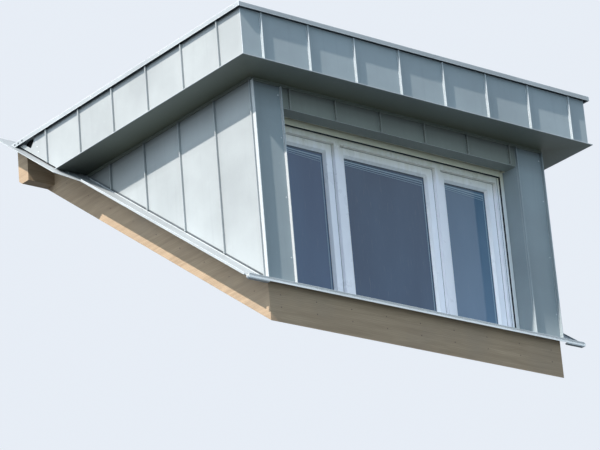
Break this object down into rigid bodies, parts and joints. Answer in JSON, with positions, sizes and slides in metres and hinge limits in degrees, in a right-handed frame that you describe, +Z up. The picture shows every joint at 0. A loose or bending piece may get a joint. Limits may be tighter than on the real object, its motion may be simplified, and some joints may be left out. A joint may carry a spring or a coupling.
{
  "type": "dormer window",
  "caption": "Flat-roofed dormer window clad in grey standing-seam sheet metal, with a white three-light window and a rolled-up roller shutter.",
  "frame": {"origin": "middle of the sill beam's bevelled underside, which lies on the slope of the main roof's rafters", "axes": "+X along the front, to the right as seen from outside; +Y into the house; +Z up"},
  "size_m": [3.09, 2.6649, 2.0738],
  "materials": {
    "zinc": "matt, pre-weathered blue-grey",
    "frame_white": "satin",
    "sash_white": "satin",
    "rail_white": "satin",
    "board_white": "matt",
    "glass": "clear, slate blue reflection",
    "shutter_grey": "satin beige grey",
    "timber": "sawn",
    "membrane": "matt",
    "gypsum_board": "matt painted"
  },
  "bodies": {
    "root": {"back_flashing": "zinc", "front_coping": "zinc", "front_fascia": "zinc", "head_trim": "zinc", "left_cheek_cladding": "zinc", "left_cheek_wall": "timber", "left_coping": "zinc", "left_fascia": "zinc", "left_front_post": "timber", "left_glass": "glass", "left_guide_rail": "rail_white", "left_post_cladding": "zinc", "left_sash": "sash_white", "left_side_gutter": "zinc", "left_trimmer": "timber", "lintel_beam": "timber", "lintel_cladding": "zinc", "middle_glass": "glass", "middle_sash": "sash_white", "rear_beam": "timber", "right_cheek_cladding": "zinc", "right_cheek_wall": "timber", "right_coping": "zinc", "right_fascia": "zinc", "right_front_post": "timber", "right_glass": "glass", "right_guide_rail": "rail_white", "right_post_cladding": "zinc", "right_sash": "sash_white", "right_side_gutter": "zinc", "right_trimmer": "timber", "roof_deck": "timber", "roof_membrane": "membrane", "roof_panel": "timber", "roof_rim": "timber", "room_lining": "gypsum_board", "shutter_box": "frame_white", "shutter_slat": "shutter_grey", "sill_beam": "timber", "sill_flashing": "zinc", "soffit": "zinc", "window_board": "board_white", "window_frame": "frame_white"}
  },
  "joints": []
}
